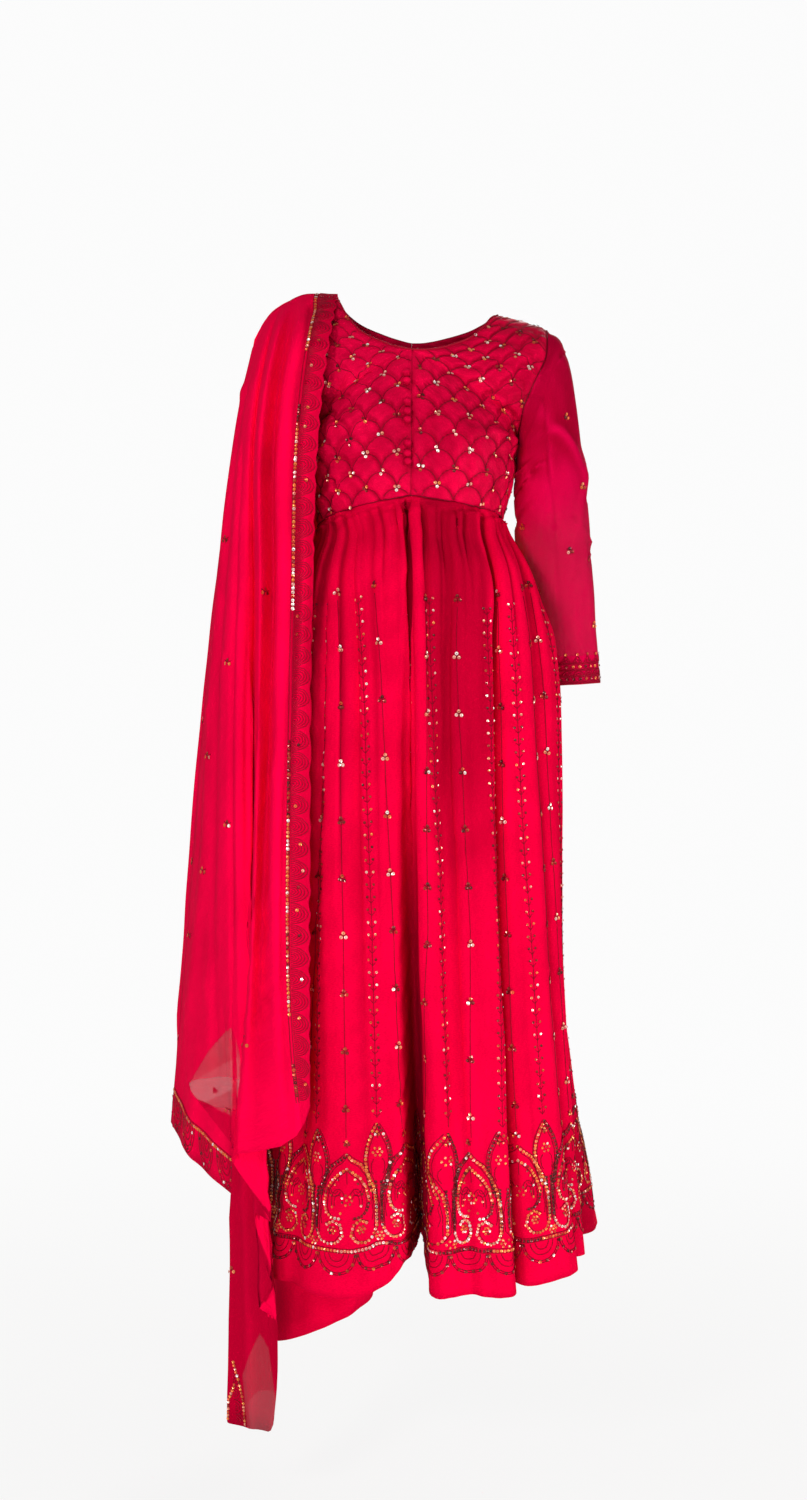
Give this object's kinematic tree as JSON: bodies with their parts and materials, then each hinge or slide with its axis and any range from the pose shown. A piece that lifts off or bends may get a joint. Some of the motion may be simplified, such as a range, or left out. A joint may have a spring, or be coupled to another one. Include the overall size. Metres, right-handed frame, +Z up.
{
  "type": "salwar kameez suit",
  "caption": "Worn salwar kameez suit: empire anarkali kameez with buttoned placket, pleated long skirt and sheer sleeves, straight salwar, dupatta over one shoulder",
  "frame": {"origin": "middle of the neck opening, level with the top of the left shoulder seam, where the wearer's neck and shoulders carry the suit", "axes": "+Z up, -Y is the front of the garment, +X is the wearer's left"},
  "size_m": [0.5594, 0.492, 1.4208],
  "materials": {
    "bodice_silk": "soft silk sheen, puckered by stitching",
    "sleeve_georgette": "sheer crepe, matt",
    "skirt_georgette": "lined crepe, matt with a faint sheen",
    "salwar_crepe": "plain crepe, matt",
    "dupatta_chiffon": "sheer chiffon"
  },
  "bodies": {
    "root": {"bodice_front_left": "bodice_silk", "bodice_front_right": "bodice_silk", "bodice_back_left": "bodice_silk", "bodice_back_right": "bodice_silk", "button_1": "bodice_silk", "button_2": "bodice_silk", "button_3": "bodice_silk", "button_4": "bodice_silk", "button_5": "bodice_silk", "button_6": "bodice_silk", "button_7": "bodice_silk", "button_8": "bodice_silk", "sleeve_left": "sleeve_georgette", "sleeve_right": "sleeve_georgette", "skirt_front": "skirt_georgette", "skirt_back_left": "skirt_georgette", "skirt_back_right": "skirt_georgette", "salwar_leg_left": "salwar_crepe", "salwar_leg_right": "salwar_crepe", "salwar_waistband": "salwar_crepe", "dupatta_front": "dupatta_chiffon", "dupatta_back": "dupatta_chiffon"}
  },
  "joints": []
}
